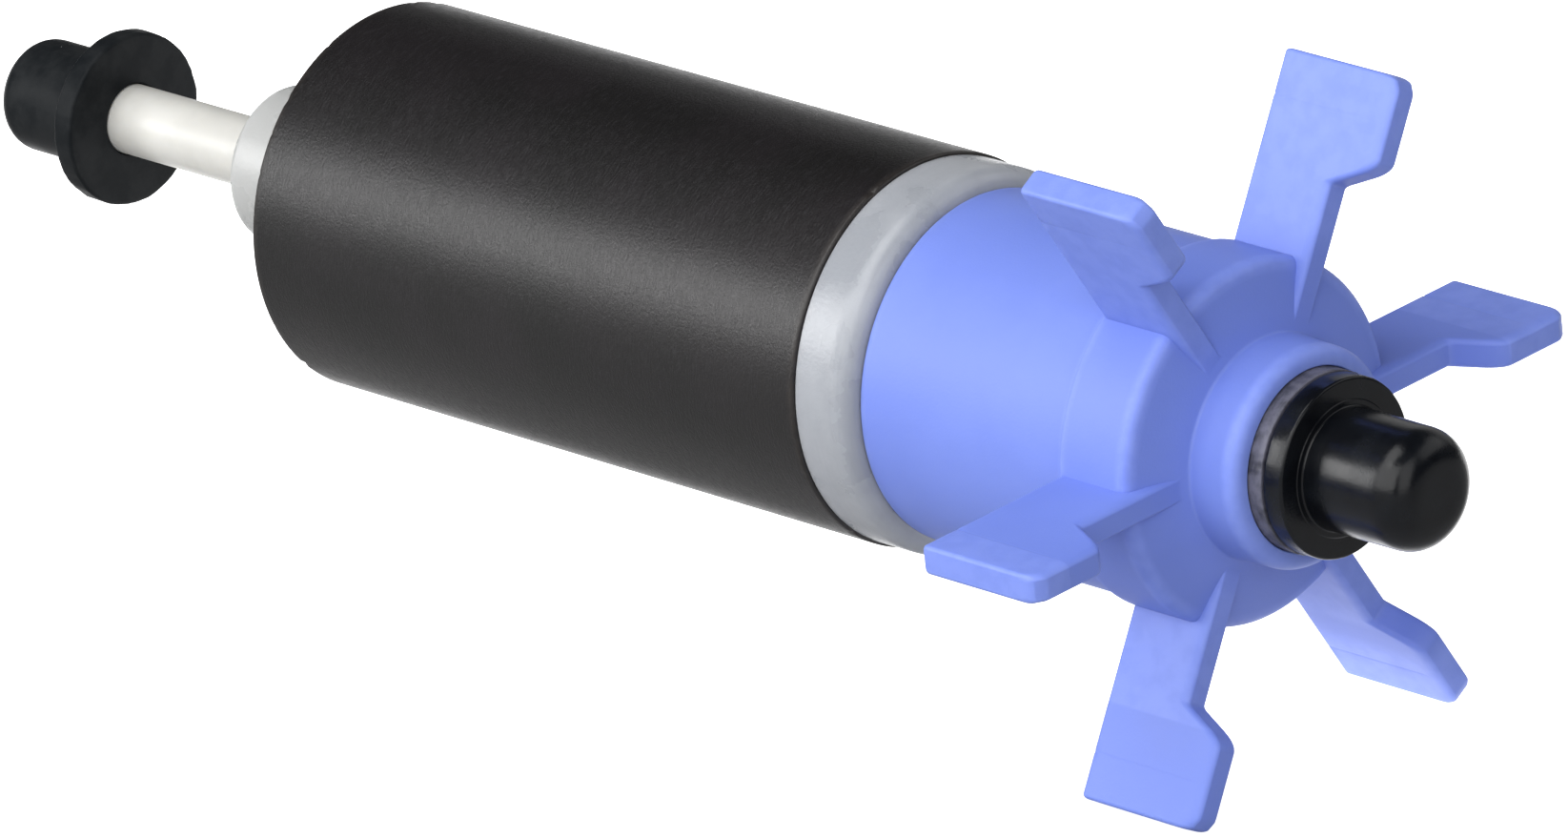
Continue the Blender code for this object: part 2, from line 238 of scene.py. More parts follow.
# %% Marks that run round the axis
def build_round_marks():
    """Noise squeezed along X. Marks are its fine part, Streaks its few strong lines."""
    tree, given, out = open_group(
        "round_marks",
        [("Vector", "Vector", None), ("Pitch", "Float", 0.2), ("Length", "Float", 3.0)],
        [("Marks", "Float"), ("Streaks", "Float")],
    )
    across = math_node(tree, "DIVIDE", 1000.0, given["Pitch"])
    along = math_node(tree, "DIVIDE", 1000.0, given["Length"])
    stretch = add_node(tree, "ShaderNodeCombineXYZ", {"X": across, "Y": along, "Z": along})
    squeezed = add_node(
        tree,
        "ShaderNodeVectorMath",
        {0: given["Vector"], 1: stretch.outputs[0]},
        operation="MULTIPLY",
    )
    fine = add_node(
        tree,
        "ShaderNodeTexNoise",
        {"Vector": squeezed.outputs[0], "Scale": 1.0, "Detail": 5.0, "Roughness": 0.65},
    )
    coarse = add_node(
        tree,
        "ShaderNodeTexNoise",
        {"Vector": squeezed.outputs[0], "Scale": 0.45, "Detail": 2.0, "Distortion": 0.3},
    )
    tree.links.new(fine.outputs["Fac"], out["Marks"])
    tree.links.new(ramp(tree, coarse.outputs["Fac"], 0.62, 0.74), out["Streaks"])
    return tree


round_marks = build_round_marks()
print("group", round_marks.name, "is ready")


# %% Flecks and specks
def build_flecks():
    """Scattered small spots: one in each cell of a Voronoi pattern, kept only in a share of the cells."""
    tree, given, out = open_group(
        "flecks",
        [
            ("Vector", "Vector", None),
            ("Spacing", "Float", 3.0),
            ("Share", "Float", 0.2),
            ("Spot", "Float", 0.05),
        ],
        [("Mask", "Float"), ("Pick", "Float")],
    )
    scale = math_node(tree, "DIVIDE", 1000.0, given["Spacing"])
    wobble = add_node(
        tree, "ShaderNodeTexNoise", {"Vector": given["Vector"], "Scale": 4000.0, "Detail": 1.0}
    )
    shift = math_node(tree, "MULTIPLY", wobble.outputs["Fac"], 0.06)
    cells = add_node(
        tree,
        "ShaderNodeTexVoronoi",
        {"Vector": given["Vector"], "Scale": scale, "Randomness": 1.0},
    )
    near = math_node(tree, "ADD", cells.outputs["Distance"], shift)
    edge = math_node(tree, "MULTIPLY", given["Spot"], 1.6)
    spot = add_node(
        tree,
        "ShaderNodeMapRange",
        {"Value": near, "From Min": edge, "From Max": given["Spot"], "To Min": 0.0, "To Max": 1.0},
    )
    pick = add_node(tree, "ShaderNodeSeparateColor", {"Color": cells.outputs["Color"]})
    kept = math_node(tree, "LESS_THAN", pick.outputs[0], given["Share"])
    tree.links.new(math_node(tree, "MULTIPLY", spot.outputs[0], kept), out["Mask"])
    tree.links.new(pick.outputs[1], out["Pick"])
    return tree


flecks = build_flecks()
print("group", flecks.name, "is ready")


# %% Paler rounded edges
def build_edge_tone():
    """The rim attribute is 1 on rounded edges and 0 a little way in. Clouds break it up."""
    tree, given, out = open_group(
        "edge_tone",
        [("Vector", "Vector", None), ("Amount", "Float", 0.5)],
        [("Mask", "Float")],
    )
    rim = add_node(tree, "ShaderNodeAttribute", attribute_name="rim")
    worn = add_node(
        tree,
        "ShaderNodeTexNoise",
        {"Vector": given["Vector"], "Scale": 700.0, "Detail": 3.0},
    )
    broken = ramp(tree, worn.outputs["Fac"], 0.3, 0.65, 0.45, 1.0)
    mask = math_node(tree, "MULTIPLY", rim.outputs["Fac"], broken)
    tree.links.new(math_node(tree, "MULTIPLY", mask, given["Amount"]), out["Mask"])
    return tree


edge_tone = build_edge_tone()
print("group", edge_tone.name, "is ready")

# %% [markdown]
# ## The finishes
# Each finish starts from one Principled shader. The numbers that stay the same all over are set on the
# shader. Colour, roughness and bump come from the groups, read in Object coordinates, which stay fixed to
# the piece because every finished piece's object sits at the origin.


# %% Start of a finish
def new_finish(name, **constants):
    """A material with its Principled shader and its Object coordinates."""
    made = bpy.data.materials.new(name)
    made.use_nodes = True
    tree = made.node_tree
    shader = tree.nodes["Principled BSDF"]
    for label, value in constants.items():
        shader.inputs[label.replace("_", " ")].default_value = value
    where = tree.nodes.new("ShaderNodeTexCoord").outputs["Object"]
    return made, tree, shader.inputs, where


def set_bump(tree, inputs, height, distance):
    """Roughens the shading: distance is how deep a height of 1 counts, in metres."""
    bump = add_node(tree, "ShaderNodeBump", {"Height": height, "Distance": distance})
    tree.links.new(bump.outputs["Normal"], inputs["Normal"])


# %% [markdown]
# ### Periwinkle plastic
# The cup and the paddle wheel are moulded in one satin violet-blue plastic. A plain coloured shader would
# look like paint, so a little light is let in below the surface, which softens the thin paddles, and the
# rounded edges are mixed paler because more light gets through them.


# %% Periwinkle plastic
def make_blue():
    """Satin coloured plastic that lets a little light in, with faint flow clouds and a few flecks."""
    made, tree, inputs, where = new_finish(
        "periwinkle_plastic",
        Subsurface_Weight=0.16,
        Subsurface_Radius=(0.5, 0.6, 1.0),
        Subsurface_Scale=0.0012,
        Specular_IOR_Level=0.38,
    )
    grain = use_group(tree, skin, {"Vector": where, "Grain Size": 0.22, "Cloud Size": 9.0})
    edges = use_group(tree, edge_tone, {"Vector": where, "Amount": 0.55})
    spots = use_group(tree, flecks, {"Vector": where, "Spacing": 5.0, "Share": 0.10, "Spot": 0.035})
    clouded = mix_colour(
        tree, ramp(tree, grain["Cloud"], 0.35, 0.65), (0.152, 0.220, 0.64), (0.162, 0.232, 0.66)
    )
    # painted highlight: the rounded edges are mixed paler for the light that gets through them
    paler = mix_colour(tree, edges["Mask"], clouded, (0.22, 0.30, 0.76))
    light_or_dark = mix_colour(
        tree, math_node(tree, "GREATER_THAN", spots["Pick"], 0.6), (0.05, 0.06, 0.26), (0.50, 0.54, 0.72)
    )
    tree.links.new(mix_colour(tree, spots["Mask"], paler, light_or_dark), inputs["Base Color"])
    tree.links.new(ramp(tree, grain["Cloud"], 0.3, 0.7, 0.46, 0.54), inputs["Roughness"])
    set_bump(tree, inputs, grain["Grain"], 0.000012)
    return made


# %% [markdown]
# ### Milky plastic
# The core is moulded without pigment, so light sinks well into it and dark grit shows near the surface. It
# could be made with transmission, but strong subsurface light gives the same cloudy look with less noise.
# The tail behind the magnet is painted paler than the collar, a painted highlight for the light that gets
# through the thin tail, while the collar has the dark magnet and the blue cup against it. So the colour
# changes along X.


# %% Milky plastic
def make_milky():
    """Unpigmented plastic: light sinks in, dark grit shows near the surface."""
    made, tree, inputs, where = new_finish(
        "milky_plastic",
        Subsurface_Weight=0.55,
        Subsurface_Radius=(0.9, 0.95, 1.0),
        Subsurface_Scale=0.0022,
        Specular_IOR_Level=0.5,
    )
    grain = use_group(tree, skin, {"Vector": where, "Grain Size": 0.30, "Cloud Size": 4.0})
    marks = use_group(tree, round_marks, {"Vector": where, "Pitch": 0.5, "Length": 14.0})
    spots = use_group(tree, flecks, {"Vector": where, "Spacing": 2.4, "Share": 0.16, "Spot": 0.05})
    clouded = mix_colour(
        tree, ramp(tree, grain["Cloud"], 0.35, 0.65), (0.30, 0.315, 0.345), (0.345, 0.36, 0.39)
    )
    banded = mix_colour(
        tree, ramp(tree, marks["Marks"], 0.25, 0.85, 0.0, 0.25), clouded, (0.24, 0.255, 0.285)
    )
    along = add_node(tree, "ShaderNodeSeparateXYZ", {"Vector": where}).outputs["X"]
    # painted highlight: behind X = -0.02 m the tail is mixed paler, for the light that gets through it
    banded = mix_colour(tree, ramp(tree, along, -0.02, -0.03), banded, (0.43, 0.435, 0.43))
    tree.links.new(mix_colour(tree, spots["Mask"], banded, (0.06, 0.06, 0.07)), inputs["Base Color"])
    tree.links.new(ramp(tree, grain["Cloud"], 0.3, 0.7, 0.24, 0.34), inputs["Roughness"])
    height = math_node(tree, "ADD", grain["Grain"], math_node(tree, "MULTIPLY", marks["Marks"], 0.6))
    set_bump(tree, inputs, height, 0.000015)
    return made


# %% [markdown]
# ### Ground ferrite
# A ferrite magnet is a dark ceramic, ground round on its outside. It is nearly black, so what the eye sees
# is its gloss: the grinding leaves very short marks round the axis that break up the long reflection. The
# marks change colour, roughness and bump together, and the sharp edges are mixed a little brown.


# %% Ground ferrite
def make_ferrite():
    """Dark ceramic magnet, ground round, with short pale scuffs that run round it and a little dust."""
    made, tree, inputs, where = new_finish("ground_ferrite", Specular_IOR_Level=0.40)
    grain = use_group(tree, skin, {"Vector": where, "Grain Size": 0.20, "Cloud Size": 12.0})
    marks = use_group(tree, round_marks, {"Vector": where, "Pitch": 0.14, "Length": 0.8})
    edges = use_group(tree, edge_tone, {"Vector": where, "Amount": 0.5})
    spots = use_group(tree, flecks, {"Vector": where, "Spacing": 2.2, "Share": 0.2, "Spot": 0.03})
    clouded = mix_colour(
        tree, ramp(tree, grain["Cloud"], 0.35, 0.65), (0.0075, 0.0070, 0.0072), (0.0110, 0.0095, 0.0105)
    )
    scuffed = mix_colour(
        tree, ramp(tree, marks["Marks"], 0.52, 0.72, 0.0, 0.35), clouded, (0.022, 0.021, 0.024)
    )
    faint_streaks = math_node(tree, "MULTIPLY", marks["Streaks"], 0.12)
    streaked = mix_colour(tree, faint_streaks, scuffed, (0.04, 0.038, 0.043))
    worn = mix_colour(tree, edges["Mask"], streaked, (0.034, 0.029, 0.026))
    tree.links.new(mix_colour(tree, spots["Mask"], worn, (0.10, 0.10, 0.11)), inputs["Base Color"])
    tree.links.new(ramp(tree, marks["Marks"], 0.35, 0.7, 0.30, 0.41), inputs["Roughness"])
    height = math_node(tree, "MULTIPLY_ADD", marks["Marks"], 1.1, grain["Grain"])
    set_bump(tree, inputs, height, 0.00002)
    return made


# %% [markdown]
# ### Black rubber
# Both bearings are black rubber. The front one is glossy and clean, the rear one dull with a few pale
# specks of dust. They differ only in numbers, so one function makes both.


# %% Black rubber
def make_rubber(name, dark, light, smooth, rough, shine, dust):
    """Moulded rubber. The front bearing is glossy and clean, the rear one dull and a little dusty."""
    made, tree, inputs, where = new_finish(name, Specular_IOR_Level=shine)
    grain = use_group(tree, skin, {"Vector": where, "Grain Size": 0.16, "Cloud Size": 2.6})
    marks = use_group(tree, round_marks, {"Vector": where, "Pitch": 0.35, "Length": 9.0})
    spots = use_group(tree, flecks, {"Vector": where, "Spacing": 0.9, "Share": dust, "Spot": 0.07})
    clouded = mix_colour(tree, ramp(tree, grain["Cloud"], 0.35, 0.65), dark, light)
    tree.links.new(mix_colour(tree, spots["Mask"], clouded, (0.55, 0.56, 0.57)), inputs["Base Color"])
    tree.links.new(ramp(tree, grain["Cloud"], 0.3, 0.7, smooth, rough), inputs["Roughness"])
    height = math_node(tree, "ADD", grain["Grain"], math_node(tree, "MULTIPLY", marks["Marks"], 0.5))
    set_bump(tree, inputs, height, 0.00001)
    return made


# %% [markdown]
# ### Fired ceramic and the greys
# The shaft is ivory ceramic, fired and then ground, with a soft shine. The washers and the bushes are
# filled plastics with a blotchy, matt surface, and again one function makes both from their own numbers.


# %% Fired ceramic
def make_ceramic():
    """Ivory ceramic, ground to size, so that very fine rings cross its gloss."""
    made, tree, inputs, where = new_finish(
        "ivory_ceramic",
        Subsurface_Weight=0.2,
        Subsurface_Radius=(1.0, 0.85, 0.6),
        Subsurface_Scale=0.0008,
        Specular_IOR_Level=0.6,
    )
    grain = use_group(tree, skin, {"Vector": where, "Grain Size": 0.10, "Cloud Size": 3.0})
    marks = use_group(tree, round_marks, {"Vector": where, "Pitch": 0.08, "Length": 5.0})
    clouded = mix_colour(
        tree, ramp(tree, grain["Cloud"], 0.35, 0.65), (0.55, 0.545, 0.515), (0.59, 0.585, 0.555)
    )
    tree.links.new(clouded, inputs["Base Color"])
    tree.links.new(ramp(tree, marks["Marks"], 0.35, 0.7, 0.34, 0.46), inputs["Roughness"])
    set_bump(tree, inputs, marks["Marks"], 0.000004)
    return made


# %% Washer and bush
def make_grey(name, dark, light, smooth, rough):
    """Filled plastic for the washers and the bushes."""
    made, tree, inputs, where = new_finish(name, Specular_IOR_Level=0.4)
    grain = use_group(tree, skin, {"Vector": where, "Grain Size": 0.12, "Cloud Size": 1.5})
    marks = use_group(tree, round_marks, {"Vector": where, "Pitch": 0.15, "Length": 2.0})
    blotched = mix_colour(tree, ramp(tree, grain["Cloud"], 0.35, 0.65), dark, light)
    tree.links.new(
        mix_colour(tree, ramp(tree, marks["Marks"], 0.45, 0.7, 0.0, 0.4), blotched, light),
        inputs["Base Color"],
    )
    tree.links.new(ramp(tree, grain["Grain"], 0.3, 0.7, smooth, rough), inputs["Roughness"])
    set_bump(tree, inputs, marks["Marks"], 0.00002)
    return made


# %% Make every finish
BLUE = make_blue()
MILKY = make_milky()
FERRITE = make_ferrite()
FRONT_RUBBER = make_rubber(
    "glossy_rubber", (0.0025, 0.003, 0.0045), (0.004, 0.005, 0.007),
    smooth=0.20, rough=0.28, shine=0.28, dust=0.02,
)
REAR_RUBBER = make_rubber(
    "dull_rubber", (0.008, 0.0095, 0.011), (0.016, 0.0175, 0.019),
    smooth=0.40, rough=0.52, shine=0.06, dust=0.14,
)
CERAMIC = make_ceramic()
WASHER = make_grey("washer_grey", (0.035, 0.036, 0.050), (0.11, 0.11, 0.15), 0.40, 0.55)
BUSH = make_grey("bush_black", (0.010, 0.010, 0.012), (0.030, 0.030, 0.034), 0.30, 0.45)
print("finishes:", [made.name for made in bpy.data.materials])

# %% [markdown]
# ## Turning a section round the shaft
# Nearly everything here is round, so a piece is a closed section, half of its cut along the shaft, turned
# about X. A Screw modifier would do it, but turning in code lets each ring carry a number, the rim
# attribute, which tells the shader where the rounded edges are. Sections are written as corners with a
# rounding radius, which a helper turns into arcs, and long straight sides get a point near each end so that
# the rim fades out.

# %% Rounded sections
ARC_STEPS = 6
CALM = 0.45 * MM             # distance from a rounding to where its rim mark has faded
TURN_STEPS = 160
SHARP_ANGLE = 32.0           # degrees between two faces beyond which their edge stays sharp


def rounded(corners, steps=ARC_STEPS):
    """(x, r, rim) points from (x, r, rounding) corners, listed from back to front over the outside."""
    points = []
    for place, (x, r, rounding) in enumerate(corners):
        here = Vector((x, r))
        before = (Vector(corners[place - 1][:2]) - here).normalized()
        after = (Vector(corners[(place + 1) % len(corners)][:2]) - here).normalized()
        if not rounding:
            points.append((x, r, 0.0))
            continue
        half = before.angle(after) / 2
        centre = here + (before + after).normalized() * rounding / math.sin(half)
        start = here + before * rounding / math.tan(half) - centre
        end = here + after * rounding / math.tan(half) - centre
        outward = 1.0 if before.cross(after) > 0 else 0.0
        sweep = math.pi - 2 * half
        for step in range(steps + 1):
            share = step / steps
            spoke = start * math.sin((1 - share) * sweep) + end * math.sin(share * sweep)
            spoke = spoke / math.sin(sweep) + centre
            points.append((spoke.x, spoke.y, outward))
    return points


def calmed(points):
    """The section with a rim-free point near each end of its long sides."""
    out = []
    for here, after in zip(points, points[1:] + points[:1]):
        out.append(here)
        start, end = Vector(here[:2]), Vector(after[:2])
        side = end - start
        if side.length < 3 * CALM:
            continue
        for share in (CALM / side.length, 1 - CALM / side.length):
            spot = start + side * share
            out.append((spot.x, spot.y, 0.0))
    return out


# %% Turn a section
def new_object(name, mesh, look):
    """An object from a bmesh, sitting at the origin."""
    data = bpy.data.meshes.new(name)
    mesh.to_mesh(data)
    mesh.free()
    data.materials.append(look)
    made = bpy.data.objects.new(name, data)
    bpy.context.scene.collection.objects.link(made)
    return made


def turned(section, steps=TURN_STEPS):
    """A bmesh of the section turned about X, with the rim attribute on its points."""
    mesh = bmesh.new()
    rim = mesh.verts.layers.float.new("rim")
    rings = []
    for x, r, edge in section:
        count = 1 if r == 0 else steps
        ring = []
        for step in range(count):
            angle = 2 * math.pi * step / count
            spot = mesh.verts.new((x, r * math.sin(angle), r * math.cos(angle)))
            spot[rim] = edge
            ring.append(spot)
        rings.append(ring)
    for here, after in zip(rings, rings[1:] + rings[:1]):
        if len(here) == len(after) == 1:
            continue
        for step in range(steps):
            follow = (step + 1) % steps
            corners = [here[step % len(here)], after[step % len(after)]]
            corners += [after[follow % len(after)], here[follow % len(here)]]
            mesh.faces.new(list(dict.fromkeys(corners)))
    bmesh.ops.recalc_face_normals(mesh, faces=mesh.faces)
    return mesh


# %% Bake a piece and hand it over
def bake_modifiers(piece):
    """The piece keeps the mesh that its modifiers make, and the modifiers go."""
    graph = bpy.context.evaluated_depsgraph_get()
    data = bpy.data.meshes.new_from_object(piece.evaluated_get(graph))
    piece.modifiers.clear()
    piece.data = data
    return piece


def settle_normals(piece):
    """Marks sharp edges by angle and lets large faces set the normals, so that roundings shade cleanly."""
    piece.data.shade_smooth()
    piece.data.set_sharp_from_angle(angle=math.radians(SHARP_ANGLE))
    weighted = piece.modifiers.new("weighted", "WEIGHTED_NORMAL")
    weighted.keep_sharp, weighted.weight = True, 100
    return bake_modifiers(piece)


def hand_over(piece, body, slot, *nodes):
    """The piece gets its shading, rides on a body and stands for CAD nodes. The slot argument is not used."""
    settle_normals(piece)
    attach(piece, body)
    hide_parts(*nodes)
    print(piece.name, "on", body, "with", len(piece.data.polygons), "faces")


# %% [markdown]
# ## The ceramic shaft
# The shaft is one ground rod that runs from one rubber bearing to the other. Only its bare end behind the
# magnet shows. It is a section with two small ground edges, turned.

# %% Turn the shaft
GROUND_EDGE = 0.3 * MM

shaft = new_object(
    "ceramic_shaft",
    turned(calmed(rounded([
        (SHAFT_BACK, 0, 0),
        (SHAFT_BACK, SHAFT_R, GROUND_EDGE),
        (SHAFT_FRONT, SHAFT_R, GROUND_EDGE),
        (SHAFT_FRONT, 0, 0),
    ]))),
    CERAMIC,
)
hand_over(shaft, "shaft", "ceramic", "shaft")

# %% [markdown]
# ## The rubber bearings
# Each end of the shaft is pushed into a rubber bearing: a flange and a round-ended nose that sits in a
# socket of the pump. Both are turned from one function with their own nose sizes. The real ones keep a
# little flash where the mould closed, so the flange's edge wanders by a few hundredths of a millimetre. A
# low ledge round the nose's root draws the thin ring of light that a moulded step has.

# %% Turn both bearings
FLANGE_THICKNESS = 1.7 * MM
FLANGE_ROUND = 0.25 * MM
FLANGE_FRONT_ROUND = 0.22 * MM    # on the nose's side
SOCKET_DEPTH = 6.6 * MM
FRONT_NOSE_R = 4.25 * MM
FRONT_NOSE_ROUND = 2.3 * MM
REAR_NOSE_R = 4.05 * MM
REAR_NOSE_ROUND = 1.6 * MM
LEDGE_HEIGHT = 0.05 * MM     # the low step round the nose's root
LEDGE_WIDTH = 0.50 * MM
LEDGE_SLOPE = 0.08 * MM
FLASH = 0.05 * MM            # how far the flange's edge wanders
FLASH_BAND = 0.3 * MM
FLASH_WAVES = ((900, 1.0), (2600, 0.6))
FLASH_BIAS = 0.6             # keeps the wandering edge inside the flange's true radius


def make_bearing(name, face, outward, nose_r, tip, nose_round, flash, look):
    """outward is +1 or -1, the way the nose points from the flange's inner face."""
    length = abs(tip - face)
    root = FLANGE_THICKNESS
    bore = SHAFT_R + RUNNING_GAP
    outline = rounded([
        (0, bore, 0.15 * MM),
        (0, FLANGE_R, FLANGE_ROUND),
        (root, FLANGE_R, FLANGE_FRONT_ROUND),
        (root, nose_r + LEDGE_WIDTH, 0.05 * MM),
        (root + LEDGE_HEIGHT, nose_r + LEDGE_WIDTH - LEDGE_SLOPE, 0.04 * MM),
        (root + LEDGE_HEIGHT, nose_r, 0.15 * MM),
        (length, nose_r, nose_round),
        (length, 0, 0),
        (SOCKET_DEPTH, 0, 0),
        (SOCKET_DEPTH, bore, 0),
    ], 8)
    section = [(face + outward * x, r, edge) for x, r, edge in calmed(outline)]
    mesh = turned(section)
    for spot in mesh.verts:
        reach = math.hypot(spot.co.y, spot.co.z)
        if reach > FLANGE_R - FLASH_BAND:
            wander = sum(size * noise.noise(spot.co * fineness) for fineness, size in FLASH_WAVES)
            grow = 1 + flash * (wander - FLASH_BIAS) / reach
            spot.co.y *= grow
            spot.co.z *= grow
    return new_object(name, mesh, look)


front_bearing = make_bearing(
    "front_rubber_bearing", FRONT_CAP_BACK, 1, FRONT_NOSE_R, FRONT_CAP_TIP, FRONT_NOSE_ROUND,
    0.4 * FLASH, FRONT_RUBBER,
)
hand_over(front_bearing, "front_cap", "front_rubber", "front_bearing_cap")
rear_bearing = make_bearing(
    "rear_rubber_bearing", REAR_CAP_FRONT, -1, REAR_NOSE_R, REAR_CAP_TIP, REAR_NOSE_ROUND,
    FLASH, REAR_RUBBER,
)
hand_over(rear_bearing, "rear_cap", "rear_rubber", "rear_bearing_cap")

# %% [markdown]
# ## The thrust washers
# A thin washer stands a little proud in the mouth of the wheel's boss, and another in the end of the tail.
# Their edges were punched, so the outer edge is uneven: each ring of points is pushed in and out by noise.

# %% Turn and roughen the washers
PUNCHED = 0.05 * MM          # how far the punched edge wanders
PUNCHED_FINENESS = 3200
WASHER_ROUND = 0.10 * MM
BORE_ROUND = 0.08 * MM
WASHER_STEPS = 240


def make_washer(name, node):
    """A washer in the place of a CAD washer, with its own uneven edge."""
    back, front, outer = span(node)
    bore = SHAFT_R + 2 * RUNNING_GAP
    mesh = turned(calmed(rounded([
        (back, bore, BORE_ROUND),
        (back, outer, WASHER_ROUND),
        (front, outer, WASHER_ROUND),
        (front, bore, BORE_ROUND),
    ], 3)), WASHER_STEPS)
    for spot in mesh.verts:
        reach = math.hypot(spot.co.y, spot.co.z)
        if reach > outer - 0.2 * MM:
            wander = noise.noise(Vector((0, spot.co.y, spot.co.z)) * PUNCHED_FINENESS)
            spot.co.y *= 1 + PUNCHED * wander / reach
            spot.co.z *= 1 + PUNCHED * wander / reach
    made = new_object(name, mesh, WASHER)
    hand_over(made, "thrust_washers", "washer", node)


make_washer("front_washer", "front_thrust_washer")
make_washer("rear_washer", "rear_thrust_washer")

# %% [markdown]
# ## The core moulding
# One milky moulding runs through the magnet: the tail boss behind it, the sleeve inside it, the wide collar
# in front and the spigot inside the wheel. The collar is a hair smaller than the magnet and has a large
# rounding at the front, which is what catches the light. It is bored from both ends for a bush and a
# washer.

# %% Turn the core
TAIL_WALL_R = REAR_WASHER_R + SEAT_GAP
BUSH_SEAT_R = BUSH_R + SEAT_GAP
TAIL_WALL = 1.2 * MM
TAIL_R = TAIL_WALL_R + TAIL_WALL
SPIGOT_WALL = 0.7 * MM
SPIGOT_R = BUSH_SEAT_R + SPIGOT_WALL
RELIEF_R = SHAFT_R + 0.6 * MM
BUSH_LENGTH = 9.0 * MM
COLLAR_BACK = MAGNET_FRONT + HAIRLINE
COLLAR_FRONT = CUP_BACK - HAIRLINE
COLLAR_ROUND = 1.5 * MM
BUSH_SEAT_BACK = REAR_WASHER_FRONT + SEAT_GAP
BUSH_SEAT_DEPTH = BUSH_LENGTH + SEAT_GAP

core = new_object(
    "core_moulding",
    turned(calmed(rounded([
        (TAIL_BACK, TAIL_WALL_R, 0.15 * MM),
        (TAIL_BACK, TAIL_R, 0.6 * MM),
        (COLLAR_BACK, TAIL_R, 0),
        (COLLAR_BACK, COLLAR_R, 0.12 * MM),
        (COLLAR_FRONT, COLLAR_R, COLLAR_ROUND),
        (COLLAR_FRONT, SPIGOT_R, 0),
        (SPIGOT_FRONT, SPIGOT_R, 0.2 * MM),
        (SPIGOT_FRONT, BUSH_SEAT_R, 0),
        (SPIGOT_FRONT - BUSH_SEAT_DEPTH, BUSH_SEAT_R, 0),
        (SPIGOT_FRONT - BUSH_SEAT_DEPTH, RELIEF_R, 0),
        (BUSH_SEAT_BACK + BUSH_SEAT_DEPTH, RELIEF_R, 0),
        (BUSH_SEAT_BACK + BUSH_SEAT_DEPTH, BUSH_SEAT_R, 0),
        (BUSH_SEAT_BACK, BUSH_SEAT_R, 0),
        (BUSH_SEAT_BACK, TAIL_WALL_R, 0),
    ]))),
    MILKY,
)
hand_over(core, "rotor", "milky_plastic", "rotor_core")

# %% [markdown]
# ## The ring magnet
# The magnet is a plain ring of ferrite, ground on the outside. Its ends are sharp, broken only by a tiny
# chamfer with a few chips in it, as brittle ferrite has. The chips are real dents in the mesh: a fine ring
# of points along each sharp edge is pulled in wherever a noise passes a limit.

# %% Turn and chip the magnet
MAGNET_EDGE = 0.22 * MM
MAGNET_STEPS = 360
CHIP_BAND = 0.3 * MM         # how far in from a sharp edge the chips reach
CHIP_DEPTH = 0.36 * MM
CHIP_LIMIT = 0.28
CHIP_SCALE = Vector((50, 1100, 1100))

magnet_mesh = turned(calmed(rounded([
    (MAGNET_BACK, TAIL_R + HAIRLINE, 0.2 * MM),
    (MAGNET_BACK, MAGNET_R, MAGNET_EDGE),
    (MAGNET_FRONT, MAGNET_R, MAGNET_EDGE),
    (MAGNET_FRONT, TAIL_R + HAIRLINE, 0),
], 4)), MAGNET_STEPS)
for spot in magnet_mesh.verts:
    reach = math.hypot(spot.co.y, spot.co.z)
    from_end = min(spot.co.x - MAGNET_BACK, MAGNET_FRONT - spot.co.x)
    if reach > MAGNET_R - CHIP_BAND and from_end < CHIP_BAND:
        bite = max(0.0, noise.noise(spot.co * CHIP_SCALE) - CHIP_LIMIT)
        shrink = 1 - CHIP_DEPTH * bite / reach
        spot.co.y *= shrink
        spot.co.z *= shrink
magnet = new_object("ring_magnet", magnet_mesh, FERRITE)
hand_over(magnet, "rotor", "ferrite", "rotor_magnet")

# %% [markdown]
# ## The drive cup
# The wheel closes a cup that turns freely on the spigot until a rib inside it meets the drive dog. The cup
# is turned, then the rib, a block between two radii, is joined to it with a Boolean.


# %% Joining and cutting
def combined(target, tool, operation):
    """target with tool joined to it or cut from it. The tool is removed."""
    cut = target.modifiers.new("combine", "BOOLEAN")
    cut.object, cut.operation, cut.solver = tool, operation, "EXACT"
    bake_modifiers(target)
    bpy.data.objects.remove(tool, do_unlink=True)
    return target


# %% Make the cup
CUP_WALL = 2.1 * MM
CUP_FLOOR = 1.8 * MM
CUP_ROUND = 0.25 * MM
CUP_JOINT_ROUND = 0.12 * MM
CUP_INNER_R = CUP_R - CUP_WALL
PADDLE_COUNT = 6
PADDLE_PHASE = 21.8          # degrees from +Z towards +Y
RIB_ANGLE = 40.0
DOG_RING_WALL = 1.8 * MM
DOG_CLEARANCE = 0.4 * MM
RIB_INNER_R = SPIGOT_R + SEAT_GAP + DOG_RING_WALL + DOG_CLEARANCE


def block_round_axis(back, front, inner, outer, centre, spread, steps=12):
    """A bmesh of a block between two radii, spread degrees wide about centre."""
    mesh = bmesh.new()
    rings = []
    for step in range(steps + 1):
        angle = math.radians(centre - spread / 2 + spread * step / steps)
        sides = ((back, inner), (front, inner), (front, outer), (back, outer))
        rings.append([mesh.verts.new((x, r * math.sin(angle), r * math.cos(angle))) for x, r in sides])
    for here, after in zip(rings, rings[1:]):
        for corner in range(4):
            follow = (corner + 1) % 4
            mesh.faces.new((here[corner], here[follow], after[follow], after[corner]))
    mesh.faces.new(rings[0])
    mesh.faces.new(rings[-1])
    bmesh.ops.recalc_face_normals(mesh, faces=mesh.faces)
    return mesh


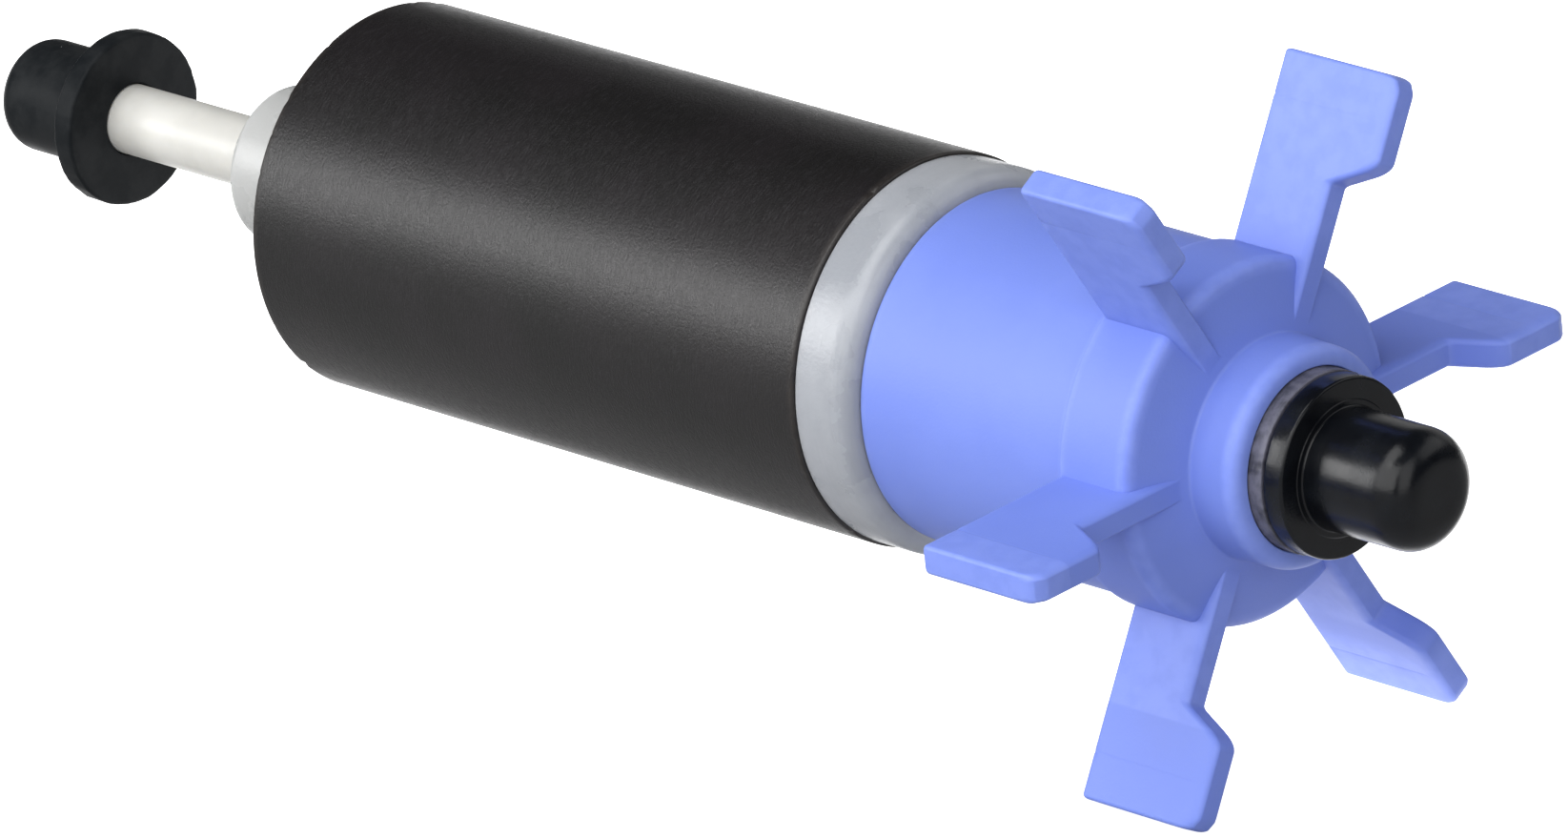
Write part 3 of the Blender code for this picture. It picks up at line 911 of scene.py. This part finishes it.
cup_front = CUP_FRONT + SEAT_GAP - HAIRLINE    # the visible joint is drawn tighter than the CAD model's
cup = new_object(
    "drive_cup",
    turned(calmed(rounded([
        (CUP_BACK, SPIGOT_R + RUNNING_GAP, 0),
        (CUP_BACK, CUP_R, CUP_ROUND),
        (cup_front, CUP_R, CUP_JOINT_ROUND),
        (cup_front, CUP_INNER_R, CUP_JOINT_ROUND),
        (CUP_BACK + CUP_FLOOR, CUP_INNER_R, 0),
        (CUP_BACK + CUP_FLOOR, SPIGOT_R + RUNNING_GAP, 0),
    ]))),
    BLUE,
)
rib = new_object(
    "cup_rib",
    block_round_axis(
        CUP_BACK + CUP_FLOOR / 2, DOG_FRONT, RIB_INNER_R, CUP_INNER_R + CUP_WALL / 2,
        180 + PADDLE_PHASE, RIB_ANGLE,
    ),
    BLUE,
)
combined(cup, rib, "UNION")
hand_over(cup, "impeller", "blue_plastic", "drive_hub")

# %% [markdown]
# ## One paddle
# A paddle is a flat plate that stands along a radius. Its back edge is straight and its front edge steps
# forward near the tip. All its edges are rounded, and the mould left a faint line across it near the tip.
# It could be a box with a Bevel, but here it is lofted: a rounded rectangle is placed at many distances
# from the shaft, and each one says how far forward the front edge has come. The step's corners come out
# smooth because the front edge bends over a short stretch instead of turning at a point.

# %% Size a paddle
WHEEL_BACK = CUP_FRONT + SEAT_GAP
PADDLE_BACK = WHEEL_BACK + 0.1 * MM    # a paddle's back edge stands just in front of the disc's
PADDLE_WIDTH = 6.9 * MM      # along the shaft, next to the boss
TIP_WIDTH = 10.5 * MM        # along the shaft, beyond the step
STEP_START = 17.9 * MM
STEP_END = 19.6 * MM
PADDLE_R = 25.9 * MM
PADDLE_ROOT = 6.75 * MM
PADDLE_THICKNESS = 2.1 * MM
BACK_ROUND = 0.35 * MM
FRONT_ROUND = 0.9 * MM       # along the shaft; the plate's front edges are drawn out along its faces
FRONT_CROWN = 0.4 * MM       # across the plate
FRONT_MARGIN = 0.3 * MM      # flat stretch behind that rounding
TIP_ROUND = 0.3 * MM
TIP_CORNER = 1.2 * MM        # rounding of the tip's front corner, seen from the side
INNER_BLEND = 0.4 * MM       # stretch over which the step's inner corner bends
OUTER_BLEND = 1.3 * MM       # the same for its outer corner
WITNESS = 22.7 * MM          # the mould's faint line across the plate
WITNESS_HALF = 0.07 * MM
WITNESS_DEPTH = 0.035 * MM
WITNESS_END = 1.7 * MM       # the line fades out this far behind the front edge
PLAIN_STOPS = [9 * MM, 11 * MM, 13 * MM, 15 * MM, 16.6 * MM]  # rings that only keep the faces short
BEFORE_WITNESS = 21.6 * MM
BEYOND_WITNESS = 24.2 * MM
EDGE_STEPS = 5
print("a paddle reaches from", round(PADDLE_ROOT / MM, 2), "to", round(PADDLE_R / MM, 2), "mm from the axis")


# %% Loft a paddle
def soft_ramp(rise, blend):
    """0 below 0 and rise above 0, bent over a stretch of blend around 0."""
    if abs(rise) < blend / 2:
        return (rise + blend / 2) ** 2 / (2 * blend)
    return max(0.0, rise)


def width_at(distance):
    """How far the front edge stands from the back edge at a distance from the axis."""
    slope = (TIP_WIDTH - PADDLE_WIDTH) / (STEP_END - STEP_START)
    step = soft_ramp(distance - STEP_START, INNER_BLEND) - soft_ramp(distance - STEP_END, OUTER_BLEND)
    into_corner = min(1.0, max(0.0, distance - (PADDLE_R - TIP_CORNER)) / TIP_CORNER)
    return PADDLE_WIDTH + slope * step - TIP_CORNER * (1 - math.sqrt(1 - into_corner**2))


def paddle_ring(distance, inset, thin):
    """Points (x, y, z, rim) of the plate's outline at one distance, thinned behind its front edge."""
    back, front = PADDLE_BACK + inset, PADDLE_BACK + width_at(distance) - inset / 2
    half = PADDLE_THICKNESS / 2 - inset
    points = []
    for side in (1, -1):
        thinned = side * (half - thin)
        across = min(BACK_ROUND, half)
        tail = []
        for step in range(EDGE_STEPS + 1):
            angle = math.pi / 2 * step / EDGE_STEPS
            x = back + BACK_ROUND * (1 - math.sin(angle))
            tail.append((x, thinned - side * across * (1 - math.cos(angle)), distance, 1.0))
        tail.reverse()
        run = [(back + BACK_ROUND + CALM, thinned, distance, 0.0)]
        run.append((front - WITNESS_END, thinned, distance, 0.0))
        run.append((front - FRONT_ROUND - FRONT_MARGIN, side * half, distance, 0.0))
        crown = []
        for step in range(2 * EDGE_STEPS + 1):
            angle = math.pi / 4 * step / EDGE_STEPS
            x = front - FRONT_ROUND * (1 - math.sin(angle))
            y = half - min(FRONT_CROWN, half) * (1 - math.cos(angle))
            crown.append((x, side * y, distance, 1.0))
        outline = tail + run + crown
        points += outline if side > 0 else outline[::-1]
    return points


def paddle_distances():
    """(distance, inset, thinning) of every ring from root to tip."""
    stops = [PADDLE_ROOT, *PLAIN_STOPS]
    stops += [STEP_START + share * INNER_BLEND for share in (-0.5, -0.3, -0.1, 0.1, 0.3, 0.5)]
    stops += [STEP_END + share * OUTER_BLEND for share in (-0.5, -0.36, -0.22, -0.08, 0.08, 0.22, 0.36, 0.5)]
    rings = [(stop, 0.0, 0.0) for stop in stops + [BEFORE_WITNESS, WITNESS - 2 * WITNESS_HALF]]
    rings += [(WITNESS - WITNESS_HALF, 0.0, WITNESS_DEPTH), (WITNESS + WITNESS_HALF, 0.0, WITNESS_DEPTH)]
    rings += [(WITNESS + 2 * WITNESS_HALF, 0.0, 0.0), (BEYOND_WITNESS, 0.0, 0.0)]
    rings += [(PADDLE_R - TIP_CORNER, 0.0, 0.0), (PADDLE_R - 0.75 * TIP_CORNER, 0.0, 0.0)]
    for step in range(EDGE_STEPS + 1):
        angle = math.pi / 2 * step / EDGE_STEPS
        inset = TIP_ROUND * (1 - math.cos(angle))
        rings.append((PADDLE_R - TIP_ROUND + TIP_ROUND * math.sin(angle), inset, 0.0))
    return rings


def loft_paddle():
    mesh = bmesh.new()
    rim = mesh.verts.layers.float.new("rim")
    loops = []
    for distance, inset, thin in paddle_distances():
        loop = []
        for x, y, z, edge in paddle_ring(distance, inset, thin):
            spot = mesh.verts.new((x, y, z))
            spot[rim] = max(edge, min(1.0, inset / TIP_ROUND * 2))
            loop.append(spot)
        loops.append(loop)
    for here, after in zip(loops, loops[1:]):
        for place in range(len(here)):
            follow = (place + 1) % len(here)
            mesh.faces.new((here[place], here[follow], after[follow], after[place]))
    mesh.faces.new(loops[0])
    mesh.faces.new(loops[-1])
    bmesh.ops.recalc_face_normals(mesh, faces=mesh.faces)
    return mesh


paddles = new_object("paddles", loft_paddle(), BLUE)
print("one paddle has", len(paddles.data.polygons), "faces")

# %% [markdown]
# ## Six paddles round the shaft
# Copies at equal turns are a rule, so Geometry Nodes make them: a row of points carries one instance each,
# and each instance is turned about X by its number. The tree ends in Realize Instances and Set Material,
# because instances would not survive the export, and the result is baked to a plain mesh.


# %% Build the ring tree
def build_ring_tree():
    tree = bpy.data.node_groups.new("ring_of_copies", "GeometryNodeTree")
    tree.interface.new_socket("Piece", in_out="INPUT", socket_type="NodeSocketGeometry")
    count = tree.interface.new_socket("Count", in_out="INPUT", socket_type="NodeSocketInt")
    phase = tree.interface.new_socket("Phase", in_out="INPUT", socket_type="NodeSocketFloat")
    look = tree.interface.new_socket("Material", in_out="INPUT", socket_type="NodeSocketMaterial")
    tree.interface.new_socket("Ring", in_out="OUTPUT", socket_type="NodeSocketGeometry")
    given = tree.nodes.new("NodeGroupInput").outputs
    out = tree.nodes.new("NodeGroupOutput").inputs
    points = add_node(tree, "GeometryNodePoints", {"Count": given["Count"]})
    index = tree.nodes.new("GeometryNodeInputIndex").outputs[0]
    share = math_node(tree, "DIVIDE", index, given["Count"])
    turn = math_node(tree, "MULTIPLY_ADD", share, 2 * math.pi, given["Phase"])
    minus = math_node(tree, "MULTIPLY", turn, -1.0)
    angles = add_node(tree, "ShaderNodeCombineXYZ", {"X": minus})
    rotation = add_node(tree, "FunctionNodeEulerToRotation", {0: angles.outputs[0]})
    copies = add_node(
        tree,
        "GeometryNodeInstanceOnPoints",
        {"Points": points.outputs[0], "Instance": given["Piece"], "Rotation": rotation.outputs[0]},
    )
    real = add_node(tree, "GeometryNodeRealizeInstances", {0: copies.outputs[0]})
    finished = add_node(
        tree, "GeometryNodeSetMaterial", {"Geometry": real.outputs[0], "Material": given["Material"]}
    )
    tree.links.new(finished.outputs[0], out["Ring"])
    return tree, {"Count": count, "Phase": phase, "Material": look}


ring_tree, ring_inputs = build_ring_tree()
ring = paddles.modifiers.new("ring", "NODES")
ring.node_group = ring_tree
ring[ring_inputs["Count"].identifier] = PADDLE_COUNT
ring[ring_inputs["Phase"].identifier] = math.radians(PADDLE_PHASE)
ring[ring_inputs["Material"].identifier] = BLUE
bake_modifiers(paddles)
print(PADDLE_COUNT, "paddles have", len(paddles.data.polygons), "faces")

# %% [markdown]
# ## The wheel
# The disc closes the cup, and its rim stands a little proud of it. Its face rises gently to a boss with a
# rounded lip and a mouth for the washer. The body is turned, and the six paddles are joined to it with a
# Boolean, so that the wheel is one closed skin as the moulding is.

# %% Turn the wheel's body and join the paddles
DISC_OVERHANG = 0.4 * MM
DISC_R = CUP_R + DISC_OVERHANG
DISC_THICKNESS = 6.0 * MM
DISC_FRONT = WHEEL_BACK + DISC_THICKNESS
DISC_ROUND = 0.8 * MM
DISC_DOME = 1.2 * MM         # how far the disc's face rises from its rim to the boss
BOSS_R = 7.75 * MM
BOSS_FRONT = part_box("impeller_wheel")[1].x
BOSS_ROUND = 0.9 * MM
BOSS_TAPER = 0.1 * MM
MOUTH_R = FRONT_WASHER_R + HAIRLINE
MOUTH_FLOOR = FRONT_WASHER_BACK - SEAT_GAP
PLUG_R = CUP_INNER_R - SEAT_GAP
PLUG_WALL = 1.5 * MM
THROUGH_R = SHAFT_R + RUNNING_GAP + SEAT_GAP

body_section = rounded([
    (PLUG_BACK, PLUG_R - PLUG_WALL, 0),
    (PLUG_BACK, PLUG_R, 0.2 * MM),
    (WHEEL_BACK, PLUG_R, 0),
    (WHEEL_BACK, DISC_R, 0.2 * MM),
    (DISC_FRONT, DISC_R, DISC_ROUND),
    (DISC_FRONT + DISC_DOME, BOSS_R, 0.25 * MM),
    (BOSS_FRONT, BOSS_R - BOSS_TAPER, BOSS_ROUND),
    (BOSS_FRONT + BOSS_TAPER, MOUTH_R, 0.12 * MM),
    (MOUTH_FLOOR, MOUTH_R, 0),
    (MOUTH_FLOOR, THROUGH_R, 0),
    (PLUG_BACK, THROUGH_R, 0),
    (PLUG_BACK, SPIGOT_R, 0),
    (WHEEL_BACK, SPIGOT_R, 0),
    (WHEEL_BACK, PLUG_R - PLUG_WALL, 0),
])
wheel = new_object("paddle_wheel", turned(calmed(body_section)), BLUE)
combined(wheel, paddles, "UNION")
hand_over(wheel, "impeller", "blue_plastic", "impeller_wheel")

# %% [markdown]
# ## The pieces inside
# The bushes, the drive dog and its rubber are never seen unless the object is taken apart. Their CAD shapes
# are already right, so they stay and only get their finishes.

# %% Finish the inner pieces
for node, look in (
    ("front_bush", BUSH),
    ("rear_bush", BUSH),
    ("drive_dog", MILKY),
    ("start_damper", REAR_RUBBER),
):
    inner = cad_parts[node]
    inner.data.materials.clear()
    inner.data.materials.append(look)
    print(node, "takes", look.name)

# %% [markdown]
# ## The floor
# The object lies on a plain pale floor, as small parts do in a studio. The floor is painted with a glow
# of its own, as white acrylic lit from below has, and that painted light fills the undersides. One even glow
# would do, but it would turn the underside of the dark magnet grey, so the glow is weak in front, a painted
# shade under the object, and strong only behind the magnet, a painted pool of light. Rays from the camera
# always meet pure white.

# %% Lay the floor
FLOOR_SIDE = 6.0
FLOOR_TONE = 0.36
# painted light: the floor's own glow, weak near the object and strong behind the magnet
NEAR_GLOW = 0.14             # the floor's own light on the object, from in front of it
FAR_GLOW = 1.9               # the same from the strongly lit floor behind the magnet
LIT_FROM_Y = 12 * MM         # that part is fully lit beyond this distance behind the shaft
LIT_UP_TO_X = 45 * MM        # and up to this point along the shaft
LIT_FADE = 30 * MM


def make_floor():
    low = cad_box[0].z
    mesh = bmesh.new()
    half = FLOOR_SIDE / 2
    corners = ((-half, -half), (half, -half), (half, half), (-half, half))
    mesh.faces.new([mesh.verts.new((x, y, low)) for x, y in corners])
    made, tree, inputs, where = new_finish("pale_floor", Roughness=0.9, Specular_IOR_Level=0.1)
    inputs["Base Color"].default_value = (FLOOR_TONE, FLOOR_TONE, FLOOR_TONE, 1)
    inputs["Emission Color"].default_value = (1, 1, 1, 1)
    split = add_node(tree, "ShaderNodeSeparateXYZ", {"Vector": where})
    behind = ramp(tree, split.outputs["Y"], 0.0, LIT_FROM_Y)
    beside = ramp(tree, split.outputs["X"], LIT_UP_TO_X, LIT_UP_TO_X + LIT_FADE, 1.0, 0.0)
    # painted light: the floor glows weakly in front, a painted shade under the object, and strongly behind
    # the magnet, a painted pool of light
    glow = ramp(tree, math_node(tree, "MULTIPLY", behind, beside), 0.0, 1.0, NEAR_GLOW, FAR_GLOW)
    seen = tree.nodes.new("ShaderNodeLightPath").outputs["Is Camera Ray"]
    tree.links.new(math_node(tree, "MAXIMUM", glow, seen), inputs["Emission Strength"])
    floor = new_object("floor", mesh, made)
    return floor


print("floor laid at", round(make_floor().data.vertices[0].co.z / MM, 2), "mm")

# %% [markdown]
# ## The lamps
# Six flat lamps stand a metre away. The key is a wide softbox to the camera's left and gives most of the
# light. A small bright box further left draws the soft streak along the magnet. One box above lights the
# tops, one to the camera's right fills the front faces, and two weak ones, far right and behind, keep the
# paddles on that side from going dark. Lamps could be placed by hand, but an angle round the object and an
# angle up are easier to reason about. Each lamp is given by how bright its surface looks, so changing its
# size keeps its reflection as bright.

# %% Place the lamps
LAMP_DISTANCE = 1.0
SKY_STRENGTH = 0.03


def add_softbox(name, side, height, size, radiance):
    """A flat lamp facing the object: side in degrees from +X towards -Y, size is (across, up)."""
    side, height = math.radians(side), math.radians(height)
    place = LAMP_DISTANCE * Vector((
        math.cos(height) * math.cos(side), -math.cos(height) * math.sin(side), math.sin(height)
    ))
    data = bpy.data.lights.new(name, "AREA")
    data.shape, data.size, data.size_y = "RECTANGLE", *size
    data.energy = math.pi * radiance * size[0] * size[1]
    lamp = bpy.data.objects.new(name, data)
    lamp.matrix_world = Matrix.Translation(place) @ place.to_track_quat("Z", "Y").to_matrix().to_4x4()
    bpy.context.scene.collection.objects.link(lamp)


add_softbox("key_softbox", 84, 28, (1.35, 0.85), 3.35)
add_softbox("side_strip", 134, 13, (0.30, 0.42), 9.0)
add_softbox("top_box", 105, 64, (0.6, 0.6), 3.4)
add_softbox("front_fill", 20, 22, (0.6, 0.8), 1.9)
add_softbox("far_fill", -48, 38, (1.0, 0.5), 1.1)
add_softbox("back_fill", -110, 22, (0.9, 0.5), 0.5)
world = bpy.data.worlds.new("studio")
world.use_nodes = True
world.node_tree.nodes["Background"].inputs["Color"].default_value = (1, 1, 1, 1)
world.node_tree.nodes["Background"].inputs["Strength"].default_value = SKY_STRENGTH
bpy.context.scene.world = world
bpy.context.scene.view_settings.view_transform = "Standard"
